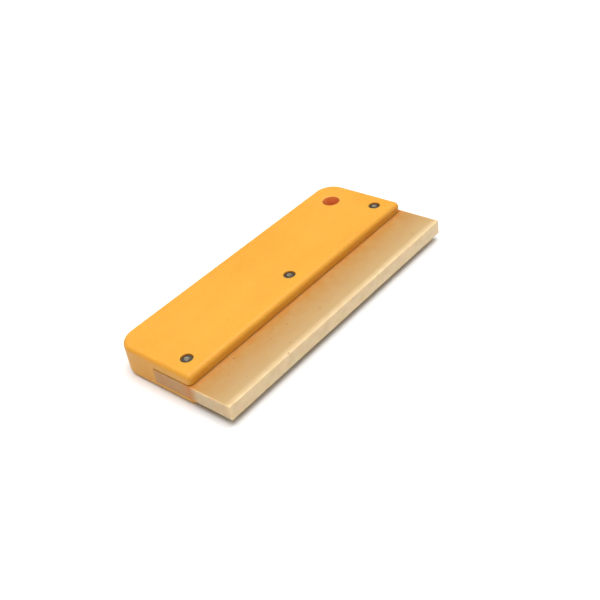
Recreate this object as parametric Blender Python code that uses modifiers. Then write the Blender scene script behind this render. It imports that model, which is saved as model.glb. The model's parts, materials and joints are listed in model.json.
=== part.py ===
"""Squeegee applicator for laying vinyl film.

A moulded plastic handle holds a thick polyurethane blade in a slot that is
open at the front and at both ends, and stands a little proud of both ends.
Three low-head socket screws near the front edge pull the two jaws of the slot
together: each sits on a washer in a counterbore on top and threads into a
sleeve nut, whose flat head lies in a recess under the lower jaw. The blade has
a notch for each sleeve, open at its back edge, so it can be drawn out forwards.

Frame: origin at the bottom centre of the whole object, +X along the handle,
+Y from the blade towards the back of the handle, +Z up. Units are metres.
"""

import math

import bmesh
import bpy
from mathutils import Matrix

MM = 0.001

# Handle
HANDLE_LENGTH = 200 * MM
HANDLE_DEPTH = 61 * MM
BACK_CORNER_RADIUS = 13 * MM
EDGE_RADIUS = 3 * MM
UPPER_JAW = 6.4 * MM
LOWER_JAW = 4.2 * MM
SLOT_DEPTH = 30 * MM
SLOT_CORNER_RADIUS = 1.2 * MM

# Blade
BLADE_THICKNESS = 9.5 * MM
BLADE_REACH = 29 * MM
BLADE_OVERHANG = 0.5 * MM
BLADE_EDGE_RADIUS = 0.4 * MM
NOTCH_END_FLAT = 0.1 * MM

# Hang hole
HANG_HOLE_RADIUS = 5.8 * MM
HANG_HOLE_CHAMFER = 0.6 * MM
HANG_HOLE_FROM_END = 19.5 * MM
HANG_HOLE_FROM_BACK = 18.5 * MM

# M4 x 12 low-head socket screws
SCREW_FROM_END = 11.5 * MM
SCREW_FROM_FRONT = 12.5 * MM
SCREW_RADIUS = 2 * MM
SCREW_LENGTH = 12 * MM
SCREW_TIP_CHAMFER = 0.4 * MM
HEAD_RADIUS = 3.5 * MM
HEAD_HEIGHT = 2.8 * MM
HEAD_CHAMFER = 0.3 * MM
HEAD_RECESS = 0.6 * MM
SOCKET_ACROSS_FLATS = 2.5 * MM
SOCKET_DEPTH = 1.6 * MM

# Washers and sleeve nuts
WASHER_RADIUS = 3.6 * MM
WASHER_THICKNESS = 0.5 * MM
SLEEVE_WALL = 0.7 * MM
SLEEVE_BELOW_SLOT_TOP = 2.3 * MM
SLEEVE_BORE_FLOOR = 1 * MM
FLAT_HEAD_RADIUS = 5 * MM
FLAT_HEAD_THICKNESS = 1.3 * MM
FLAT_HEAD_CHAMFER = 0.25 * MM
FLAT_HEAD_RECESS = 0.3 * MM
DRIVER_SLOT_WIDTH = 1.2 * MM
DRIVER_SLOT_DEPTH = 0.6 * MM
COUNTERBORE_CHAMFER = 0.25 * MM

# Clearances: the small gap is kept between pieces that touch
GAP = 0.3 * MM
BACK_GAP = 0.5 * MM
COUNTERBORE_CLEARANCE = 0.2 * MM
OVERCUT = 2 * MM

# Facets
ROUND_SEGMENTS = 32
HANG_HOLE_SEGMENTS = 48
CORNER_SEGMENTS = 10
EDGE_SEGMENTS = 4
SMALL_EDGE_SEGMENTS = 2

# Heights, worked out from the floor up
SLOT_HEIGHT = BLADE_THICKNESS + 2 * GAP
SLOT_TOP = LOWER_JAW + SLOT_HEIGHT
HANDLE_HEIGHT = SLOT_TOP + UPPER_JAW
HEAD_SEAT = HANDLE_HEIGHT - HEAD_RECESS - HEAD_HEIGHT
WASHER_TOP = HEAD_SEAT - GAP
COUNTERBORE_FLOOR = WASHER_TOP - WASHER_THICKNESS - GAP
FLAT_HEAD_TOP = FLAT_HEAD_RECESS + FLAT_HEAD_THICKNESS
RECESS_TOP = FLAT_HEAD_TOP + GAP
SLEEVE_TOP = SLOT_TOP - SLEEVE_BELOW_SLOT_TOP

# Depths, with the whole object centred on Y = 0
TOTAL_DEPTH = HANDLE_DEPTH + BLADE_REACH
BLADE_FRONT = -TOTAL_DEPTH / 2
HANDLE_FRONT = BLADE_FRONT + BLADE_REACH
HANDLE_BACK = HANDLE_FRONT + HANDLE_DEPTH
SLOT_BACK = HANDLE_FRONT + SLOT_DEPTH
BLADE_BACK = SLOT_BACK - BACK_GAP
SCREW_Y = HANDLE_FRONT + SCREW_FROM_FRONT

# Radii of holes and of what passes through them
SCREW_HOLE_RADIUS = SCREW_RADIUS + GAP
SLEEVE_RADIUS = SCREW_HOLE_RADIUS + SLEEVE_WALL
SLEEVE_HOLE_RADIUS = SLEEVE_RADIUS + GAP
RECESS_RADIUS = FLAT_HEAD_RADIUS + GAP
COUNTERBORE_RADIUS = WASHER_RADIUS + COUNTERBORE_CLEARANCE

OUTER_SCREW_X = HANDLE_LENGTH / 2 - SCREW_FROM_END
SCREW_STATIONS = {
    "left": -OUTER_SCREW_X,
    "middle": 0.0,
    "right": OUTER_SCREW_X,
}


def clear_scene():
    for old in list(bpy.data.objects):
        bpy.data.objects.remove(old, do_unlink=True)


def make_collection(name):
    collection = bpy.data.collections.new(name)
    bpy.context.scene.collection.children.link(collection)
    return collection


def make_material(name, color, roughness, metallic=0.0, transmission=0.0):
    material = bpy.data.materials.new(name)
    material.use_nodes = True
    shader = material.node_tree.nodes["Principled BSDF"]
    shader.inputs["Base Color"].default_value = (*color, 1.0)
    shader.inputs["Roughness"].default_value = roughness
    shader.inputs["Metallic"].default_value = metallic
    shader.inputs["Transmission Weight"].default_value = transmission
    material.diffuse_color = (*color, 1.0)
    return material


def add_object(name, bm, collection, location=(0, 0, 0)):
    """Turn a bmesh into a named object in the given collection."""
    mesh = bpy.data.meshes.new(name)
    bm.to_mesh(mesh)
    bm.free()
    obj = bpy.data.objects.new(name, mesh)
    obj.location = location
    collection.objects.link(obj)
    return obj


def box_bmesh(low, high):
    """A box between two corners."""
    size = [b - a for a, b in zip(low, high)]
    centre = [(a + b) / 2 for a, b in zip(low, high)]
    bm = bmesh.new()
    place = Matrix.Translation(centre) @ Matrix.Diagonal((*size, 1))
    bmesh.ops.create_cube(bm, size=1.0, matrix=place)
    return bm


def round_edges(bm, edges, radius, segments):
    bmesh.ops.bevel(
        bm, geom=edges, offset=radius, offset_type="OFFSET",
        segments=segments, profile=0.5, affect="EDGES", clamp_overlap=True)


def edges_where(bm, test):
    """The edges whose two ends both pass the test."""
    return [edge for edge in bm.edges if all(test(v.co) for v in edge.verts)]


def hex_prism(across_flats, low_z, high_z):
    """A hexagonal prism on the Z axis with two flats facing +X and -X."""
    bm = bmesh.new()
    corner_radius = across_flats / math.sqrt(3)
    place = Matrix.Translation((0, 0, (low_z + high_z) / 2)) @ Matrix.Rotation(math.pi / 6, 4, "Z")
    bmesh.ops.create_cone(
        bm, cap_ends=True, segments=6, radius1=corner_radius, radius2=corner_radius,
        depth=high_z - low_z, matrix=place)
    return bm


def turned(name, profile, collection, location=(0, 0, 0), closed=False, steps=ROUND_SEGMENTS):
    """A profile of (radius, height) points, turned about the Z axis."""
    bm = bmesh.new()
    verts = [bm.verts.new((radius, 0, height)) for radius, height in profile]
    for first, second in zip(verts, verts[1:]):
        bm.edges.new((first, second))
    if closed:
        bm.edges.new((verts[-1], verts[0]))
    obj = add_object(name, bm, collection, location)
    screw = obj.modifiers.new("Turn", "SCREW")
    screw.axis = "Z"
    screw.steps = steps
    screw.render_steps = steps
    screw.use_merge_vertices = True
    screw.merge_threshold = 0.00001
    return obj


def as_cutter(obj):
    obj.hide_render = True
    obj.display_type = "WIRE"
    return obj


def combine(obj, cutter, operation="DIFFERENCE"):
    boolean = obj.modifiers.new(cutter.name, "BOOLEAN")
    boolean.operation = operation
    boolean.solver = "EXACT"
    boolean.object = cutter


def shade_round(obj):
    obj.data.shade_smooth()
    obj.data.set_sharp_from_angle(angle=math.radians(30))


def bore_cutter(station, x, cutters):
    """Counterbore and screw hole in the upper jaw, sleeve hole and head recess in the lower."""
    mid_slot = LOWER_JAW + SLOT_HEIGHT / 2
    profile = [
        (0, HANDLE_HEIGHT + OVERCUT),
        (COUNTERBORE_RADIUS + COUNTERBORE_CHAMFER + OVERCUT, HANDLE_HEIGHT + OVERCUT),
        (COUNTERBORE_RADIUS, HANDLE_HEIGHT - COUNTERBORE_CHAMFER),
        (COUNTERBORE_RADIUS, COUNTERBORE_FLOOR),
        (SCREW_HOLE_RADIUS, COUNTERBORE_FLOOR),
        (SCREW_HOLE_RADIUS, mid_slot),
        (SLEEVE_HOLE_RADIUS, mid_slot),
        (SLEEVE_HOLE_RADIUS, RECESS_TOP),
        (RECESS_RADIUS, RECESS_TOP),
        (RECESS_RADIUS, -OVERCUT),
        (0, -OVERCUT),
    ]
    return as_cutter(turned(f"bore_cutter_{station}", profile, cutters, (x, SCREW_Y, 0)))


def hang_hole_cutter(cutters):
    """The hole's wall, opening out to a chamfer at both faces."""
    wide = HANG_HOLE_RADIUS + HANG_HOLE_CHAMFER + OVERCUT
    profile = [
        (0, HANDLE_HEIGHT + OVERCUT),
        (wide, HANDLE_HEIGHT + OVERCUT),
        (HANG_HOLE_RADIUS, HANDLE_HEIGHT - HANG_HOLE_CHAMFER),
        (HANG_HOLE_RADIUS, HANG_HOLE_CHAMFER),
        (wide, -OVERCUT),
        (0, -OVERCUT),
    ]
    place = (HANDLE_LENGTH / 2 - HANG_HOLE_FROM_END, HANDLE_BACK - HANG_HOLE_FROM_BACK, 0)
    return as_cutter(turned("hang_hole_cutter", profile, cutters, place, steps=HANG_HOLE_SEGMENTS))


def slot_cutter(cutters):
    """The slot, open at the front and both ends, with rounded inner corners."""
    half = HANDLE_LENGTH / 2 + OVERCUT
    bm = box_bmesh((-half, HANDLE_FRONT - OVERCUT, LOWER_JAW), (half, SLOT_BACK, SLOT_TOP))
    back_edges = [e for e in edges_where(bm, lambda co: co.y > SLOT_BACK - GAP)
                  if abs(e.verts[0].co.x - e.verts[1].co.x) > HANDLE_LENGTH]
    round_edges(bm, back_edges, SLOT_CORNER_RADIUS, SMALL_EDGE_SEGMENTS)
    return as_cutter(add_object("slot_cutter", bm, cutters))


def make_handle(parts, cutters, material):
    """One moulded block: big radii at the back corners, a small one on every edge."""
    half = HANDLE_LENGTH / 2
    bm = box_bmesh((-half, HANDLE_FRONT, 0), (half, HANDLE_BACK, HANDLE_HEIGHT))
    upright_back = [e for e in edges_where(bm, lambda co: co.y > HANDLE_BACK - GAP)
                    if abs(e.verts[0].co.z - e.verts[1].co.z) > UPPER_JAW]
    round_edges(bm, upright_back, BACK_CORNER_RADIUS, CORNER_SEGMENTS)
    handle = add_object("handle_body", bm, parts)

    fillet = handle.modifiers.new("Edge radius", "BEVEL")
    fillet.width = EDGE_RADIUS
    fillet.segments = EDGE_SEGMENTS
    fillet.limit_method = "ANGLE"
    fillet.angle_limit = math.radians(40)

    combine(handle, slot_cutter(cutters))
    combine(handle, hang_hole_cutter(cutters))
    for station, x in SCREW_STATIONS.items():
        combine(handle, bore_cutter(station, x, cutters))
    handle.data.materials.append(material)
    shade_round(handle)
    return handle


def notch_cutter(station, x, cutters):
    """A round-ended notch that runs from the sleeve out of the blade's back edge."""
    low = (x - SLEEVE_HOLE_RADIUS, SCREW_Y - SLEEVE_HOLE_RADIUS, LOWER_JAW - OVERCUT)
    high = (x + SLEEVE_HOLE_RADIUS, BLADE_BACK + OVERCUT, SLOT_TOP + OVERCUT)
    bm = box_bmesh(low, high)
    upright_front = [e for e in edges_where(bm, lambda co: co.y < SCREW_Y)
                     if abs(e.verts[0].co.z - e.verts[1].co.z) > BLADE_THICKNESS]
    round_edges(bm, upright_front, SLEEVE_HOLE_RADIUS - NOTCH_END_FLAT / 2, ROUND_SEGMENTS // 4)
    return as_cutter(add_object(f"notch_cutter_{station}", bm, cutters))


def make_blade(parts, cutters, material):
    half = HANDLE_LENGTH / 2 + BLADE_OVERHANG
    low_z = LOWER_JAW + GAP
    bm = box_bmesh((-half, BLADE_FRONT, low_z), (half, BLADE_BACK, low_z + BLADE_THICKNESS))
    round_edges(bm, list(bm.edges), BLADE_EDGE_RADIUS, SMALL_EDGE_SEGMENTS)
    blade = add_object("blade", bm, parts)
    for station, x in SCREW_STATIONS.items():
        combine(blade, notch_cutter(station, x, cutters))
    blade.data.materials.append(material)
    shade_round(blade)
    return blade


def make_screw(station, axis_empty, parts, cutters, material):
    """Low-head socket screw; its origin is where the head meets the shank."""
    profile = [
        (0, HEAD_HEIGHT),
        (HEAD_RADIUS - HEAD_CHAMFER, HEAD_HEIGHT),
        (HEAD_RADIUS, HEAD_HEIGHT - HEAD_CHAMFER),
        (HEAD_RADIUS, 0),
        (SCREW_RADIUS, 0),
        (SCREW_RADIUS, SCREW_TIP_CHAMFER - SCREW_LENGTH),
        (SCREW_RADIUS - SCREW_TIP_CHAMFER, -SCREW_LENGTH),
        (0, -SCREW_LENGTH),
    ]
    screw = turned(f"clamp_screw_{station}", profile, parts)
    screw.parent = axis_empty
    bm = hex_prism(SOCKET_ACROSS_FLATS, HEAD_HEIGHT - SOCKET_DEPTH, HEAD_HEIGHT + OVERCUT)
    socket = as_cutter(add_object(f"socket_cutter_{station}", bm, cutters))
    socket.parent = axis_empty
    combine(screw, socket)
    screw.data.materials.append(material)
    shade_round(screw)
    return screw


def make_washer(station, axis_empty, parts, material):
    """Plain washer just under the screw's head."""
    profile = [
        (WASHER_RADIUS, 0),
        (WASHER_RADIUS, -WASHER_THICKNESS),
        (SCREW_HOLE_RADIUS, -WASHER_THICKNESS),
        (SCREW_HOLE_RADIUS, 0),
    ]
    washer = turned(f"screw_washer_{station}", profile, parts, (0, 0, WASHER_TOP - HEAD_SEAT), closed=True)
    washer.parent = axis_empty
    washer.data.materials.append(material)
    shade_round(washer)
    return washer


def make_sleeve_nut(station, axis_empty, parts, cutters, material):
    """Threaded sleeve on a flat slotted head; its origin is at the underside of the head."""
    sleeve_length = SLEEVE_TOP - FLAT_HEAD_RECESS
    profile = [
        (0, SLEEVE_BORE_FLOOR),
        (SCREW_HOLE_RADIUS, SLEEVE_BORE_FLOOR),
        (SCREW_HOLE_RADIUS, sleeve_length),
        (SLEEVE_RADIUS, sleeve_length),
        (SLEEVE_RADIUS, FLAT_HEAD_THICKNESS),
        (FLAT_HEAD_RADIUS, FLAT_HEAD_THICKNESS),
        (FLAT_HEAD_RADIUS, FLAT_HEAD_CHAMFER),
        (FLAT_HEAD_RADIUS - FLAT_HEAD_CHAMFER, 0),
        (0, 0),
    ]
    foot = (0, 0, FLAT_HEAD_RECESS - HEAD_SEAT)
    nut = turned(f"sleeve_nut_{station}", profile, parts, foot)
    nut.parent = axis_empty
    half_width = DRIVER_SLOT_WIDTH / 2
    reach = FLAT_HEAD_RADIUS + OVERCUT
    bm = box_bmesh((-reach, -half_width, -OVERCUT), (reach, half_width, DRIVER_SLOT_DEPTH))
    driver_slot = as_cutter(add_object(f"driver_slot_cutter_{station}", bm, cutters, foot))
    driver_slot.parent = axis_empty
    combine(nut, driver_slot)
    nut.data.materials.append(material)
    shade_round(nut)
    return nut


clear_scene()
parts = make_collection("squeegee_applicator")
cutters = make_collection("cutters")

yellow_plastic = make_material("yellow_plastic", (0.89, 0.42, 0.06), 0.45)
amber_urethane = make_material("amber_urethane", (0.66, 0.45, 0.22), 0.35, transmission=0.3)
black_steel = make_material("black_steel", (0.08, 0.075, 0.07), 0.4, metallic=1.0)
zinc_steel = make_material("zinc_steel", (0.6, 0.6, 0.58), 0.35, metallic=1.0)

make_handle(parts, cutters, yellow_plastic)
make_blade(parts, cutters, amber_urethane)
for station, x in SCREW_STATIONS.items():
    axis_empty = bpy.data.objects.new(f"screw_axis_{station}", None)
    axis_empty.empty_display_size = HEAD_RADIUS
    axis_empty.location = (x, SCREW_Y, HEAD_SEAT)
    parts.objects.link(axis_empty)
    make_screw(station, axis_empty, parts, cutters, black_steel)
    make_washer(station, axis_empty, parts, zinc_steel)
    make_sleeve_nut(station, axis_empty, parts, cutters, zinc_steel)
bpy.context.view_layer.update()
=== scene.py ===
"""Looks of a squeegee applicator: a moulded handle, a cast urethane blade, and the screws that clamp it."""

import json
import math

import bmesh
import bpy
from mathutils import Euler, Matrix, Vector


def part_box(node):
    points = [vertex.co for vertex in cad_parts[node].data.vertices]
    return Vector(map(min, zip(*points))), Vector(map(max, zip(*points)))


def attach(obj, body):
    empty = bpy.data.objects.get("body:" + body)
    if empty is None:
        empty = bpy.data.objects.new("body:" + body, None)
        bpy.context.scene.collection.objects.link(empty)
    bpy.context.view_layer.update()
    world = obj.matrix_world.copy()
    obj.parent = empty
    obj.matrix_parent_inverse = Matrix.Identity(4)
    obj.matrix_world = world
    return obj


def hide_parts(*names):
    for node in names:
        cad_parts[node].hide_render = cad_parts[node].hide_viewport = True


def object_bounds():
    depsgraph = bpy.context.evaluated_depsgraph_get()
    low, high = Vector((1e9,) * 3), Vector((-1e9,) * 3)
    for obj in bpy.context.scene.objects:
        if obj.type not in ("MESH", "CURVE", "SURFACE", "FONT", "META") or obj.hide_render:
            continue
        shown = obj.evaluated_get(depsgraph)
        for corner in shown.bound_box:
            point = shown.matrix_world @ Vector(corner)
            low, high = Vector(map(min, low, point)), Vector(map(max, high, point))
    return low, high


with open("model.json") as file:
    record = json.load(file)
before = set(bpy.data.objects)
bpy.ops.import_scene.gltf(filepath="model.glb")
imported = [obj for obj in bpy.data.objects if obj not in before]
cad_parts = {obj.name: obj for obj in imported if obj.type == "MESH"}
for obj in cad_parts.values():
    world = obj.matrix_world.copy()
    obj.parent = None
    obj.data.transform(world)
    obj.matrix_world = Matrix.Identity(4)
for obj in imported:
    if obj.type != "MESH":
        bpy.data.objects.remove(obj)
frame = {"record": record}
cad_low, cad_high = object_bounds()
MM = 0.001

# ---------------------------------------------------------------------------
# Handle: one thick moulding in warm yellow plastic, with a slot along the
# front for the blade, a hang hole, three counterbores on top and three flat
# recesses below. The mould leaves a fine matt grain and small ejector marks.
# ---------------------------------------------------------------------------
handle_low, handle_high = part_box("handle_body")
blade_low, blade_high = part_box("blade")
hang_low, hang_high = [Vector(c) for c in frame["record"]["physics"]["openings"][0]["box_m"]]
back_corner_radius = 13 * MM
edge_radius = 3 * MM
slot_floor = blade_low.z - 0.3 * MM
slot_roof = blade_high.z + 0.3 * MM
slot_back = blade_high.y + 0.5 * MM
slot_corner_radius = 1.2 * MM
slot_lip_radius = 0.35 * MM
hang_hole_radius = 5.8 * MM
hang_hole_lip = 0.7 * MM
bore_lip_radius = 0.25 * MM
counterbore_radius = 3.8 * MM
screw_hole_radius = 2.3 * MM
sleeve_hole_radius = 3.3 * MM
recess_radius = 5.3 * MM
ejector_radius = 3 * MM
ejector_depth = 0.15 * MM
ejector_row_y = 30 * MM
ejector_columns_x = (-62 * MM, -20 * MM, 20 * MM, 62 * MM)
overcut = 2 * MM
merge_distance = 0.002 * MM
stations = {}
for side in ("left", "middle", "right"):
    screw_low, screw_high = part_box(f"clamp_screw_{side}")
    stations[side] = Vector(((screw_low.x + screw_high.x) / 2, (screw_low.y + screw_high.y) / 2, 0))
counterbore_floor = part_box("screw_washer_middle")[0].z - 0.3 * MM
recess_roof = 1.9 * MM


def make_active(piece):
    bpy.ops.object.select_all(action="DESELECT")
    piece.select_set(True)
    bpy.context.view_layer.objects.active = piece


def add_block(name, low, high):
    """A box between two corners, with its place in its mesh."""
    bpy.ops.object.select_all(action="DESELECT")
    bpy.ops.mesh.primitive_cube_add(size=1, location=(Vector(low) + Vector(high)) / 2)
    block = bpy.context.object
    block.name = name
    block.scale = Vector(high) - Vector(low)
    bpy.ops.object.transform_apply(location=True, rotation=True, scale=True)
    return block


def add_rod(name, centre, radius, bottom, top, sides=64):
    """An upright round bar, with its place in its mesh."""
    bpy.ops.object.select_all(action="DESELECT")
    bpy.ops.mesh.primitive_cylinder_add(
        vertices=sides, radius=radius, depth=top - bottom,
        location=(centre.x, centre.y, (bottom + top) / 2))
    rod = bpy.context.object
    rod.name = name
    bpy.ops.object.transform_apply(location=True, rotation=True, scale=True)
    return rod


def pick_edges(piece, wanted):
    """Goes into edit mode with only the wanted edges selected."""
    make_active(piece)
    bpy.ops.object.mode_set(mode="EDIT")
    bpy.ops.mesh.select_mode(type="EDGE")
    bpy.ops.mesh.select_all(action="DESELECT")
    edit = bmesh.from_edit_mesh(piece.data)
    for edge in edit.edges:
        if wanted(edge):
            edge.select_set(True)
    bmesh.update_edit_mesh(piece.data)


def round_off(piece, wanted, radius, segments):
    pick_edges(piece, wanted)
    bpy.ops.mesh.bevel(offset=radius, segments=segments, profile=0.5, affect="EDGES", clamp_overlap=True)
    bpy.ops.object.mode_set(mode="OBJECT")


def combine(piece, other, operation="DIFFERENCE"):
    """Cuts the other shape out of the piece, or joins it on, and removes it."""
    make_active(piece)
    modifier = piece.modifiers.new("combine", "BOOLEAN")
    modifier.operation = operation
    modifier.solver = "EXACT"
    modifier.object = other
    bpy.ops.object.modifier_apply(modifier=modifier.name)
    bpy.data.objects.remove(other, do_unlink=True)


def smooth_off(piece):
    """Merges the points that the cuts left almost on each other, and smooths all but true corners."""
    make_active(piece)
    bpy.ops.object.mode_set(mode="EDIT")
    bpy.ops.mesh.select_all(action="SELECT")
    bpy.ops.mesh.remove_doubles(threshold=merge_distance)
    bpy.ops.mesh.dissolve_degenerate(threshold=merge_distance)
    bpy.ops.object.mode_set(mode="OBJECT")
    bpy.ops.object.shade_smooth_by_angle(angle=math.radians(40))
    modifier = piece.modifiers.new("normals", "WEIGHTED_NORMAL")
    modifier.keep_sharp = True
    modifier.weight = 100
    bpy.ops.object.modifier_apply(modifier=modifier.name)


def is_corner(edge):
    return len(edge.link_faces) == 2 and edge.calc_face_angle() > math.radians(40)


def is_upright(edge):
    first, second = [v.co for v in edge.verts]
    return (first - second).xy.length < 0.01 * MM


def near_axis(edge, centre, reach):
    return all((v.co.xy - centre.xy).length < reach for v in edge.verts)


handle = add_block("handle_moulding", handle_low, handle_high)
round_off(handle, lambda e: is_upright(e) and e.verts[0].co.y > 0, back_corner_radius, 24)
round_off(handle, is_corner, edge_radius, 8)

slot = add_block(
    "slot_shape",
    (handle_low.x - overcut, handle_low.y - overcut, slot_floor),
    (handle_high.x + overcut, slot_back, slot_roof))
round_off(
    slot,
    lambda e: all(v.co.y > slot_back - 0.01 * MM for v in e.verts)
    and abs(e.verts[0].co.x - e.verts[1].co.x) > overcut,
    slot_corner_radius, 5)
combine(handle, slot)

hang_centre = (hang_low + hang_high) / 2
combine(handle, add_rod("hang_shape", hang_centre, hang_hole_radius, -overcut, handle_high.z + overcut, 96))
for centre in stations.values():
    combine(handle, add_rod("bore", centre, counterbore_radius, counterbore_floor, handle_high.z + overcut))
    combine(handle, add_rod("bore", centre, screw_hole_radius, slot_floor + overcut, handle_high.z))
    combine(handle, add_rod("bore", centre, sleeve_hole_radius, -overcut, slot_floor + overcut))
    combine(handle, add_rod("bore", centre, recess_radius, -overcut, recess_roof))
for x in ejector_columns_x:
    combine(handle, add_rod("mark", Vector((x, ejector_row_y, 0)), ejector_radius, -overcut, ejector_depth))

round_off(
    handle, lambda e: is_corner(e) and near_axis(e, hang_centre, hang_hole_radius + MM),
    hang_hole_lip, 5)
round_off(
    handle,
    lambda e: is_corner(e) and any(near_axis(e, c, recess_radius + MM) for c in stations.values())
    and any(v.co.z > handle_high.z - 0.01 * MM or v.co.z < 0.01 * MM for v in e.verts),
    bore_lip_radius, 3)
round_off(
    handle,
    lambda e: is_corner(e) and all(slot_floor - 0.01 * MM < v.co.z < slot_roof + 0.01 * MM for v in e.verts)
    and not any(near_axis(e, c, recess_radius) for c in stations.values()),
    slot_lip_radius, 3)
smooth_off(handle)


def start_material(name, color, roughness, metallic=0.0):
    """A material with its main shader, and the place on the piece that its patterns read."""
    material = bpy.data.materials.new(name)
    material.use_nodes = True
    nodes = material.node_tree.nodes
    shader = nodes["Principled BSDF"]
    shader.inputs["Base Color"].default_value = (*color, 1)
    shader.inputs["Roughness"].default_value = roughness
    shader.inputs["Metallic"].default_value = metallic
    place = nodes.new("ShaderNodeTexCoord")
    return material, nodes, material.node_tree.links, shader, place.outputs["Object"]


def add_noise(nodes, links, place, scale, detail=2.0, stretch=(1, 1, 1)):
    """Cloudy noise; the stretch makes it long one way, for scratches and streaks."""
    mapping = nodes.new("ShaderNodeMapping")
    mapping.inputs["Scale"].default_value = stretch
    noise = nodes.new("ShaderNodeTexNoise")
    noise.inputs["Scale"].default_value = scale
    noise.inputs["Detail"].default_value = detail
    links.new(place, mapping.inputs["Vector"])
    links.new(mapping.outputs["Vector"], noise.inputs["Vector"])
    return noise.outputs["Fac"]


def remap(nodes, links, value, low, high, to_low, to_high):
    """A value spread from one range to another, and held inside it."""
    spread = nodes.new("ShaderNodeMapRange")
    spread.inputs["From Min"].default_value = low
    spread.inputs["From Max"].default_value = high
    spread.inputs["To Min"].default_value = to_low
    spread.inputs["To Max"].default_value = to_high
    links.new(value, spread.inputs["Value"])
    return spread.outputs["Result"]


def blend_colors(nodes, links, amount, first, second):
    """From the first colour to the second as the amount goes from 0 to 1. Either may be a socket."""
    mix = nodes.new("ShaderNodeMix")
    mix.data_type = "RGBA"
    links.new(amount, mix.inputs["Factor"])
    for socket, color in ((mix.inputs["A"], first), (mix.inputs["B"], second)):
        if isinstance(color, tuple):
            socket.default_value = (*color, 1)
        else:
            links.new(color, socket)
    return mix.outputs["Result"]


def add_bump(nodes, links, shader, height, distance, strength=1.0):
    bump = nodes.new("ShaderNodeBump")
    bump.inputs["Distance"].default_value = distance
    bump.inputs["Strength"].default_value = strength
    links.new(height, bump.inputs["Height"])
    previous = shader.inputs["Normal"].links
    if previous:
        links.new(previous[0].from_socket, bump.inputs["Normal"])
    links.new(bump.outputs["Normal"], shader.inputs["Normal"])


def make_yellow_plastic():
    """Satin plastic: warm yellow, faint flow clouding, a matt mould grain and handling scratches; the hang
    hole's wall gets painted bounce light and painted shade.
    """
    yellow, deep_yellow, rubbed = (0.76, 0.365, 0.040), (0.72, 0.33, 0.032), (0.79, 0.40, 0.055)
    # The two hole colours are painted light: orange bounce light inside the hang hole, and a deeper
    # red-orange painted shade.
    painted_hole_bounce, painted_hole_shade = (0.95, 0.44, 0.13), (0.80, 0.22, 0.06)
    material, nodes, links, shader, place = start_material("yellow_plastic", yellow, 0.42)
    shader.inputs["Specular IOR Level"].default_value = 0.3
    shader.inputs["Subsurface Weight"].default_value = 0.5
    shader.inputs["Subsurface Radius"].default_value = (1.0, 0.35, 0.05)
    shader.inputs["Subsurface Scale"].default_value = 4 * MM
    shader.inputs["IOR"].default_value = 1.5
    clouds = remap(nodes, links, add_noise(nodes, links, place, 28, 3, (0.6, 1, 1)), 0.35, 0.65, 0, 1)
    color = blend_colors(nodes, links, clouds, yellow, deep_yellow)
    specks = remap(nodes, links, add_noise(nodes, links, place, 900, 1), 0.45, 0.75, 0, 0.5)
    color = blend_colors(nodes, links, specks, color, rubbed)
    # Painted light in the hang hole: its wall is coloured orange near the rims for bounce light, turning
    # red-orange painted shade towards the middle of its depth.
    hole_centre = nodes.new("ShaderNodeMapping")
    hole_centre.inputs["Location"].default_value = (-hang_centre.x, -hang_centre.y, 0)
    hole_centre.inputs["Scale"].default_value = (1, 1, 0)
    links.new(place, hole_centre.inputs["Vector"])
    from_axis = nodes.new("ShaderNodeVectorMath")
    from_axis.operation = "LENGTH"
    links.new(hole_centre.outputs["Vector"], from_axis.inputs[0])
    in_hole = remap(
        nodes, links, from_axis.outputs["Value"], hang_hole_radius + hang_hole_lip, hang_hole_radius, 0, 1)
    height = nodes.new("ShaderNodeSeparateXYZ")
    links.new(place, height.inputs["Vector"])
    from_middle = nodes.new("ShaderNodeMath")
    from_middle.operation = "SUBTRACT"
    from_middle.inputs[1].default_value = handle_high.z / 2
    links.new(height.outputs["Z"], from_middle.inputs[0])
    either_way = nodes.new("ShaderNodeMath")
    either_way.operation = "ABSOLUTE"
    links.new(from_middle.outputs["Value"], either_way.inputs[0])
    depth = remap(nodes, links, either_way.outputs["Value"], handle_high.z / 2 - MM, 2 * MM, 0, 1)
    painted_hole_light = blend_colors(nodes, links, depth, painted_hole_bounce, painted_hole_shade)
    color = blend_colors(nodes, links, in_hole, color, painted_hole_light)
    links.new(color, shader.inputs["Base Color"])
    scratches = remap(nodes, links, add_noise(nodes, links, place, 260, 2, (0.05, 2.2, 1)), 0.62, 0.7, 0, 1)
    roughness = remap(nodes, links, scratches, 0, 1, 0.44, 0.34)
    links.new(roughness, shader.inputs["Roughness"])
    grain = add_noise(nodes, links, place, 3200, 2)
    add_bump(nodes, links, shader, grain, 0.035 * MM, 0.6)
    add_bump(nodes, links, shader, scratches, 0.01 * MM, 0.5)
    return material


yellow_plastic = make_yellow_plastic()
handle.data.materials.clear()
handle.data.materials.append(yellow_plastic)
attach(handle, "handle")
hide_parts("handle_body")

# ---------------------------------------------------------------------------
# Blade: a strip of honey-tan polyurethane, cast as a sheet and cut to size,
# translucent, with three notches open at the back that clear the sleeves.
# ---------------------------------------------------------------------------
blade_edge_radius = 0.4 * MM
notch_lip_radius = 0.2 * MM

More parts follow.
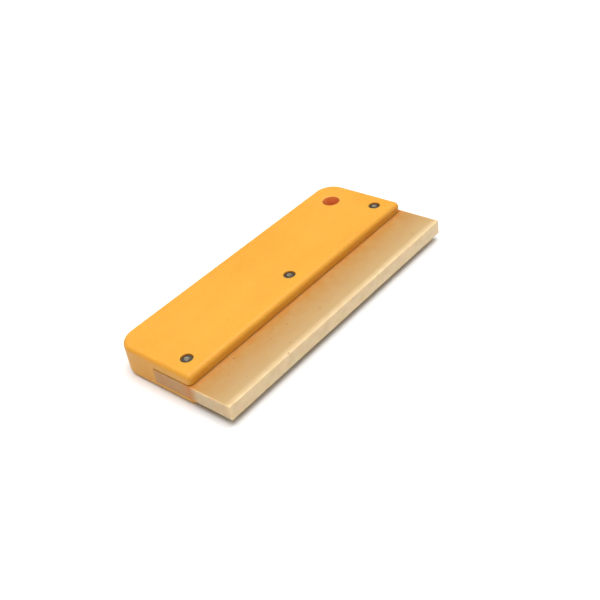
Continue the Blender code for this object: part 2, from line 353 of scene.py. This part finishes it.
blade = add_block("urethane_blade", blade_low, blade_high)
round_off(blade, is_corner, blade_edge_radius, 4)
for centre in stations.values():
    notch = add_block(
        "notch_shape",
        (centre.x - sleeve_hole_radius, centre.y, blade_low.z - overcut),
        (centre.x + sleeve_hole_radius, blade_high.y + overcut, blade_high.z + overcut))
    notch_end = add_rod("end", centre, sleeve_hole_radius, blade_low.z - overcut, blade_high.z + overcut)
    combine(notch, notch_end, "UNION")
    combine(blade, notch)
round_off(
    blade,
    lambda e: is_corner(e)
    and any(abs(v.co.z - blade_low.z) < 0.01 * MM or abs(v.co.z - blade_high.z) < 0.01 * MM for v in e.verts)
    and any(abs(v.co.x - c.x) < sleeve_hole_radius + 0.01 * MM for v in e.verts for c in stations.values()),
    notch_lip_radius, 2)
smooth_off(blade)


def make_amber_urethane():
    """Cast polyurethane: light scatters deep in it; small specks and a slightly matt, cut surface. Its
    colour holds painted light: lighter at the free edge and ends, and a painted orange shade band at the jaw
    line.
    """
    # The lighter tan and the light beige are painted light coming through the blade; the reddish orange is
    # painted shade and bounce from the yellow jaw; the honey colours are the blade's own.
    tan, honey, painted_jaw_amber = (0.53, 0.375, 0.185), (0.47, 0.235, 0.055), (0.60, 0.21, 0.04)
    unshaded_honey = (0.50, 0.245, 0.075)
    painted_edge_light, painted_edge_light_depth = (0.74, 0.58, 0.35), 4.5 * MM
    material, nodes, links, shader, place = start_material("amber_urethane", tan, 0.4)
    shader.inputs["Specular IOR Level"].default_value = 0.3
    shader.inputs["Subsurface Weight"].default_value = 0.8
    shader.inputs["Subsurface Radius"].default_value = (1.0, 0.6, 0.3)
    shader.inputs["Subsurface Scale"].default_value = 4 * MM
    shader.inputs["IOR"].default_value = 1.48
    apart = nodes.new("ShaderNodeSeparateXYZ")
    links.new(place, apart.inputs["Vector"])
    # Painted light: the blade turns lighter and tan towards its free edge, for light coming through it, and
    # honey towards the jaw.
    inwards = remap(nodes, links, apart.outputs["Y"], blade_low.y, handle_low.y - 4 * MM, 0, 1)
    color = blend_colors(nodes, links, inwards, tan, honey)
    # Painted shade and bounce: a reddish orange band across the jaw line stands in for the jaw's shade and
    # its orange bounce light; deeper in the slot it fades back to the unshaded honey.
    painted_jaw_shade = remap(nodes, links, apart.outputs["Y"], handle_low.y - 5 * MM, handle_low.y + 3 * MM, 0, 1)
    color = blend_colors(nodes, links, painted_jaw_shade, color, painted_jaw_amber)
    deeper_in_slot = remap(nodes, links, apart.outputs["Y"], handle_low.y + 2 * MM, handle_low.y + 9 * MM, 0, 1)
    color = blend_colors(nodes, links, deeper_in_slot, color, unshaded_honey)
    # Painted light: the front edge turns light beige, for light coming out through the translucent edge.
    at_edge = remap(nodes, links, apart.outputs["Y"], blade_low.y + painted_edge_light_depth, blade_low.y + 0.2 * MM, 0, 1)
    color = blend_colors(nodes, links, at_edge, color, painted_edge_light)
    # Painted light: the ends of the blade outside the handle turn light beige the same way.
    end_distance = nodes.new("ShaderNodeMath")
    end_distance.operation = "ABSOLUTE"
    links.new(apart.outputs["X"], end_distance.inputs[0])
    at_end = remap(
        nodes, links, end_distance.outputs["Value"], blade_high.x - 0.8 * MM, blade_high.x - 0.1 * MM, 0, 1)
    outside = remap(nodes, links, apart.outputs["Y"], handle_low.y + 1 * MM, handle_low.y - 5 * MM, 0, 0.75)
    both = nodes.new("ShaderNodeMath")
    both.operation = "MULTIPLY"
    links.new(at_end, both.inputs[0])
    links.new(outside, both.inputs[1])
    color = blend_colors(nodes, links, both.outputs["Value"], color, painted_edge_light)
    clouds = remap(nodes, links, add_noise(nodes, links, place, 160, 3), 0.4, 0.7, 0, 0.3)
    color = blend_colors(nodes, links, clouds, color, (0.52, 0.34, 0.15))
    flecks = remap(nodes, links, add_noise(nodes, links, place, 420, 0), 0.80, 0.84, 0, 0.7)
    color = blend_colors(nodes, links, flecks, color, (0.25, 0.12, 0.04))
    links.new(color, shader.inputs["Base Color"])
    roughness = remap(nodes, links, add_noise(nodes, links, place, 90, 3), 0.3, 0.7, 0.34, 0.5)
    links.new(roughness, shader.inputs["Roughness"])
    add_bump(nodes, links, shader, add_noise(nodes, links, place, 1400, 3), 0.03 * MM, 0.6)
    add_bump(nodes, links, shader, add_noise(nodes, links, place, 220, 1, (0.03, 1, 1)), 0.03 * MM, 0.5)
    return material


amber_urethane = make_amber_urethane()
blade.data.materials.clear()
blade.data.materials.append(amber_urethane)
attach(blade, "blade")
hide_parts("blade")

# ---------------------------------------------------------------------------
# Washers: plain steel rings punched from zinc-plated strip, so one edge is
# rolled a little rounder. Each lies under a screw's head.
# ---------------------------------------------------------------------------
washer_edge_radius = 0.12 * MM


def make_turned_steel(name, centre, color, roughness, ring_depth, grime):
    """Steel with fine rings from turning about the given axis, a mottled finish and a little grime."""
    material, nodes, links, shader, place = start_material(name, color, roughness, metallic=1.0)
    centring = nodes.new("ShaderNodeMapping")
    centring.inputs["Location"].default_value = (-centre.x, -centre.y, 0)
    links.new(place, centring.inputs["Vector"])
    rings = nodes.new("ShaderNodeTexWave")
    rings.wave_type = "RINGS"
    rings.rings_direction = "Z"
    rings.inputs["Scale"].default_value = 900
    rings.inputs["Distortion"].default_value = 0.6
    links.new(centring.outputs["Vector"], rings.inputs["Vector"])
    mottle = remap(nodes, links, add_noise(nodes, links, place, 700, 3), 0.35, 0.7, 0, 1)
    links.new(blend_colors(nodes, links, mottle, color, grime), shader.inputs["Base Color"])
    links.new(remap(nodes, links, mottle, 0, 1, roughness, roughness + 0.15), shader.inputs["Roughness"])
    add_bump(nodes, links, shader, rings.outputs["Fac"], ring_depth, 0.5)
    return material


for side, centre in stations.items():
    washer_low, washer_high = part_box(f"screw_washer_{side}")
    washer_radius = (washer_high.x - washer_low.x) / 2
    washer = add_rod(f"plain_washer_{side}", centre, washer_radius, washer_low.z, washer_high.z)
    combine(washer, add_rod("hole", centre, screw_hole_radius, washer_low.z - MM, washer_high.z + MM))
    round_off(washer, is_corner, washer_edge_radius, 3)
    smooth_off(washer)
    zinc = make_turned_steel(
        f"zinc_washer_{side}", centre, (0.62, 0.62, 0.6), 0.3, 0.004 * MM, (0.5, 0.49, 0.46))
    washer.data.materials.clear()
    washer.data.materials.append(zinc)
    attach(washer, f"washer_{side}")
    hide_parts(f"screw_washer_{side}")

# ---------------------------------------------------------------------------
# Screws: low-head hexagon socket screws, M4 x 12, in blackened steel. The
# thread is rolled, and the faces of the socket are coloured a light steel.
# ---------------------------------------------------------------------------
head_height = 2.8 * MM
head_rim_radius = 0.35 * MM
socket_across_flats = 2.5 * MM
socket_depth = 1.6 * MM
socket_mouth = 0.15 * MM
thread_pitch = 0.7 * MM
thread_radius = 2 * MM
thread_depth = 0.42 * MM
thread_crest = 0.1 * MM
thread_root = 0.56 * MM
thread_start = 0.5 * MM
plain_neck = 1 * MM



def add_thread(centre, bottom, top):
    """A right-handed ridge wound round an upright axis, with its two ends closed."""
    inner = thread_radius - thread_depth - 0.06 * MM
    profile = (
        (inner, -thread_root / 2), (thread_radius, -thread_crest / 2),
        (thread_radius, thread_crest / 2), (inner, thread_root / 2))
    bpy.ops.object.select_all(action="DESELECT")
    bpy.ops.mesh.primitive_plane_add(size=thread_depth)
    thread = bpy.context.object
    bpy.ops.object.mode_set(mode="EDIT")
    bpy.ops.mesh.delete(type="ONLY_FACE")
    edit = bmesh.from_edit_mesh(thread.data)
    edit.verts.ensure_lookup_table()
    for corner, (x, z) in zip((0, 1, 3, 2), profile):
        edit.verts[corner].co = (x, 0, z)
    bmesh.update_edit_mesh(thread.data)
    bpy.ops.object.mode_set(mode="OBJECT")
    winding = thread.modifiers.new("winding", "SCREW")
    winding.angle = math.tau
    winding.screw_offset = thread_pitch
    winding.iterations = int((top - bottom) / thread_pitch)
    winding.steps = winding.render_steps = 36
    winding.use_merge_vertices = False
    bpy.ops.object.modifier_apply(modifier=winding.name)
    bpy.ops.object.mode_set(mode="EDIT")
    bpy.ops.mesh.select_mode(type="EDGE")
    bpy.ops.mesh.select_all(action="DESELECT")
    bpy.ops.mesh.select_non_manifold(
        extend=False, use_wire=False, use_boundary=True, use_multi_face=False,
        use_non_contiguous=False, use_verts=False)
    bpy.ops.mesh.edge_face_add()
    bpy.ops.mesh.select_all(action="SELECT")
    bpy.ops.mesh.normals_make_consistent(inside=False)
    bpy.ops.object.mode_set(mode="OBJECT")
    thread.location = (centre.x, centre.y, bottom)
    bpy.ops.object.transform_apply(location=True, rotation=True, scale=True)
    return thread


for side, centre in stations.items():
    screw_low, screw_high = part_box(f"clamp_screw_{side}")
    seat = screw_high.z - head_height
    head_radius = (screw_high.x - screw_low.x) / 2
    screw = add_rod(f"socket_screw_{side}", centre, head_radius, seat, screw_high.z, 96)
    round_off(screw, lambda e: is_corner(e) and e.verts[0].co.z > seat + MM, head_rim_radius, 4)
    round_off(screw, lambda e: is_corner(e) and e.verts[0].co.z < seat + MM, 0.1 * MM, 2)
    socket_corner = socket_across_flats / math.sqrt(3)
    combine(screw, add_rod(
        "socket", centre, socket_corner, screw_high.z - socket_depth, screw_high.z + MM, 6))
    round_off(
        screw,
        lambda e: is_corner(e) and not is_upright(e)
        and near_axis(e, centre, socket_across_flats) and e.verts[0].co.z > screw_high.z - 0.01 * MM,
        socket_mouth, 2)
    core = add_rod("core", centre, thread_radius - thread_depth, screw_low.z, seat + 0.1 * MM, 48)
    round_off(core, lambda e: is_corner(e) and e.verts[0].co.z < screw_low.z + MM, 0.4 * MM, 2)
    combine(screw, core, "UNION")
    combine(screw, add_thread(centre, screw_low.z + thread_start, seat - plain_neck), "UNION")
    smooth_off(screw)
    oxide = make_turned_steel(
        f"black_oxide_{side}", centre, (0.115, 0.10, 0.078), 0.38, 0.006 * MM, (0.16, 0.13, 0.09))
    # The socket's faces get a lighter steel than the black head.
    bright = make_turned_steel(
        f"light_socket_{side}", centre, (0.66, 0.64, 0.56), 0.42, 0.002 * MM, (0.50, 0.47, 0.38))
    screw.data.materials.clear()
    screw.data.materials.append(oxide)
    screw.data.materials.append(bright)
    socket_reach = socket_corner + socket_mouth + 0.05 * MM
    for face in screw.data.polygons:
        corners = [screw.data.vertices[i].co for i in face.vertices]
        if all((co.xy - centre.xy).length < socket_reach and co.z > seat + 0.5 * MM for co in corners):
            face.material_index = 1
    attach(screw, f"screw_{side}")
    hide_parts(f"clamp_screw_{side}")

# ---------------------------------------------------------------------------
# Sleeve nuts: turned steel barrels, threaded inside, on a flat head with a
# driver slot. Each is pushed up from below into its recess and hole.
# ---------------------------------------------------------------------------
flat_head_thickness = 1.3 * MM
sleeve_radius = 3 * MM
sleeve_bore_floor = 1 * MM
driver_slot_width = 1.2 * MM
driver_slot_depth = 0.6 * MM

for side, centre in stations.items():
    nut_low, nut_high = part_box(f"sleeve_nut_{side}")
    flat_radius = (nut_high.x - nut_low.x) / 2
    nut = add_rod(
        f"sleeve_barrel_{side}", centre, flat_radius, nut_low.z, nut_low.z + flat_head_thickness, 96)
    combine(nut, add_rod("barrel", centre, sleeve_radius, nut_low.z + 0.1 * MM, nut_high.z, 96), "UNION")
    combine(nut, add_rod(
        "bore", centre, screw_hole_radius, nut_low.z + sleeve_bore_floor, nut_high.z + MM))
    driver = add_block(
        "driver", (centre.x - flat_radius - MM, centre.y - driver_slot_width / 2, nut_low.z - MM),
        (centre.x + flat_radius + MM, centre.y + driver_slot_width / 2, nut_low.z + driver_slot_depth))
    combine(nut, driver)
    round_off(nut, is_corner, 0.1 * MM, 2)
    smooth_off(nut)
    zinc = make_turned_steel(
        f"zinc_sleeve_{side}", centre, (0.6, 0.6, 0.58), 0.32, 0.006 * MM, (0.46, 0.45, 0.42))
    nut.data.materials.clear()
    nut.data.materials.append(zinc)
    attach(nut, "handle")
    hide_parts(f"sleeve_nut_{side}")

# ---------------------------------------------------------------------------
# Studio: a plain white table, soft light from all round and a broad lamp
# above and behind, and the camera.
# ---------------------------------------------------------------------------
bpy.ops.object.select_all(action="DESELECT")
bpy.ops.mesh.primitive_plane_add(size=6, location=(0, 0, cad_low.z - 0.1 * MM))
table = bpy.context.object
table.name = "table"
table_white = start_material("table_white", (0.94, 0.94, 0.94), 0.6)[0]
table.data.materials.append(table_white)

world = bpy.data.worlds.new("studio")
bpy.context.scene.world = world
world.use_nodes = True
world.node_tree.nodes["Background"].inputs["Color"].default_value = (1, 1, 1, 1)
world.node_tree.nodes["Background"].inputs["Strength"].default_value = 0.25

lamp_data = bpy.data.lights.new("broad_lamp", "AREA")
lamp_data.size = 2.2
lamp_data.energy = 62
lamp = bpy.data.objects.new("broad_lamp", lamp_data)
bpy.context.scene.collection.objects.link(lamp)
lamp.location = (0.1, -0.1, 1.95)
lamp.rotation_euler = (Vector((0, 0, 0)) - lamp.location).to_track_quat("-Z", "Y").to_euler()

view_azimuth, view_elevation, view_roll = -45.21, 36.13, -9.64
view_distance = 0.508
aim = Vector((-0.01695, -0.0256, cad_high.z))
camera_data = bpy.data.cameras.new("camera")
camera_data.lens = 52.9
camera = bpy.data.objects.new("camera", camera_data)
bpy.context.scene.collection.objects.link(camera)
turn = Euler((math.radians(90 - view_elevation), 0, math.radians(view_azimuth))).to_matrix()
turn = turn @ Matrix.Rotation(math.radians(view_roll), 3, "Z")
camera.matrix_world = Matrix.Translation(aim + turn @ Vector((0, 0, view_distance))) @ turn.to_4x4()
bpy.context.scene.camera = camera
bpy.context.scene.view_settings.view_transform = "Standard"
